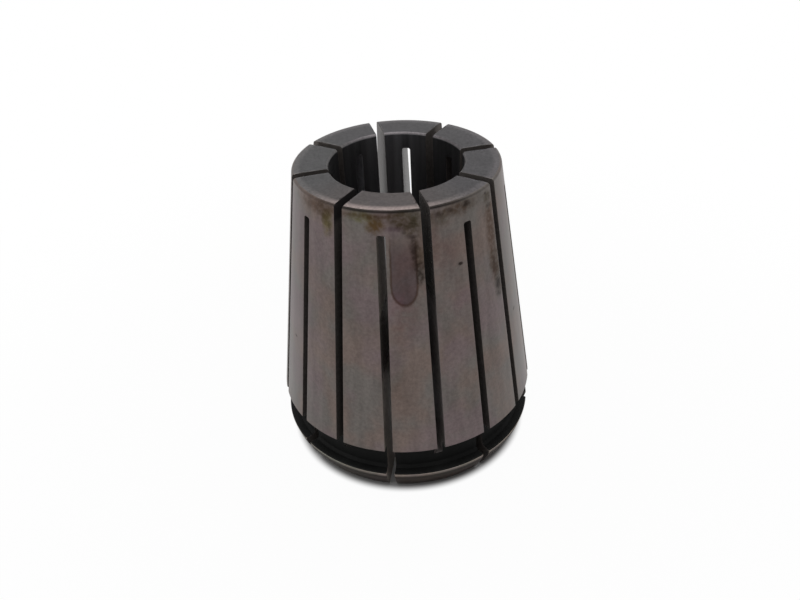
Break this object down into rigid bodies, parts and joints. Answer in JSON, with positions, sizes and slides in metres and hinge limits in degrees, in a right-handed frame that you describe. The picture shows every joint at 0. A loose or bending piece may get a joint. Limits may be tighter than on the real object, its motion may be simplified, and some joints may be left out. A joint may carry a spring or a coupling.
{
  "type": "er collet",
  "caption": "Tapered spring steel collet with a straight bore and saw slots from both ends, a groove and a nose ring, for gripping a round tool shank.",
  "frame": {"origin": "centre of the front (nose) face, on the surface the collet stands on", "axes": "+Z along the bore axis from the nose to the small back end; a nose slot lies on -Y"},
  "size_m": [0.0396, 0.0396, 0.046],
  "materials": {
    "collet_steel": "ground, satin, with oil and rust stains"
  },
  "bodies": {
    "root": {"collet": "collet_steel"}
  },
  "joints": []
}
